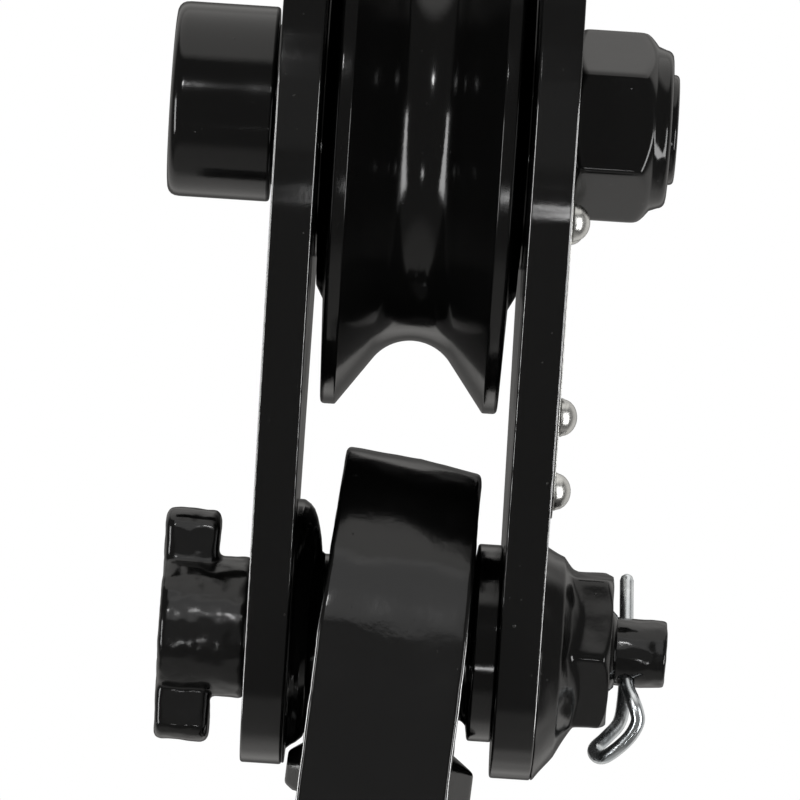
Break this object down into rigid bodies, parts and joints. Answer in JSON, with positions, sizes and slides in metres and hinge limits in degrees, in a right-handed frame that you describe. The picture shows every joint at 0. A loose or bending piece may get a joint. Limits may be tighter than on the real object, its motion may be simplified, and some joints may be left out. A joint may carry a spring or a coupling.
{
  "type": "snatch block with swivel hook",
  "caption": "Rope snatch block with a grooved sheave between two steel cheeks, a removable lock bolt held by a spring clip, and a swivel hook with a latch.",
  "frame": {"origin": "middle of the sheave's axle, halfway between the two cheeks", "axes": "+X along the axle towards its nut and the spring clip, +Z away from the hook, +Y across the cheeks"},
  "size_m": [0.0909, 0.1134, 0.2721],
  "materials": {
    "gloss_black": "gloss black enamel over steel",
    "forged_gloss_black": "gloss black enamel over a forged skin",
    "zinc_wire": "bright zinc plated spring wire",
    "zinc_sheet": "zinc plated pressed sheet",
    "aluminium": "satin",
    "bronze": "turned bearing bronze",
    "nylon": "natural nylon"
  },
  "bodies": {
    "frame": {"fixed_cheek": "gloss_black", "opening_cheek": "gloss_black", "axle_bolt": "gloss_black", "axle_head_washer": "gloss_black", "axle_nut": "gloss_black", "nut_lock_ring": "nylon", "thrust_washer_fixed_side": "gloss_black", "thrust_washer_opening_side": "gloss_black", "lock_bolt": "gloss_black", "bolt_boss": "gloss_black", "opening_side_sleeve": "gloss_black", "fixed_side_sleeve": "gloss_black", "spring_clip": "zinc_wire", "rating_plate": "aluminium", "rating_plate_rivet_1": "aluminium", "rating_plate_rivet_2": "aluminium", "rating_plate_rivet_3": "aluminium", "rating_plate_rivet_4": "aluminium", "rating_plate_rivet_5": "aluminium"},
    "sheave": {"sheave": "gloss_black", "sheave_bushing": "bronze"},
    "bail": {"swivel_bail": "forged_gloss_black"},
    "hook": {"hook": "forged_gloss_black", "swivel_nut": "forged_gloss_black", "swivel_washer": "forged_gloss_black", "swivel_roll_pin": "zinc_sheet", "latch_pin": "zinc_sheet", "latch_spring": "zinc_wire"},
    "latch": {"hook_latch": "zinc_sheet"}
  },
  "joints": [
    {"name": "sheave_spin", "type": "hinge", "parent": "frame", "child": "sheave", "pos_m": [0, 0, 0], "axis": [1, 0, 0], "continuous": true},
    {"name": "bail_swing", "type": "hinge", "parent": "frame", "child": "bail", "pos_m": [0, 0, -0.0902], "axis": [1, 0, 0], "range_deg": [-75, 75]},
    {"name": "hook_swivel", "type": "hinge", "parent": "bail", "child": "hook", "pos_m": [-0.00128, 0, -0.12018], "axis": [0.0628, 0, 0.998], "continuous": true},
    {"name": "latch_swing", "type": "hinge", "parent": "hook", "child": "latch", "pos_m": [-0.00289, 0.0115, -0.14563], "axis": [0.998, 0, -0.0628], "range_deg": [-42, 0], "stiffness_Nm_per_rad": 0.03, "springref_deg": 28.65}
  ]
}
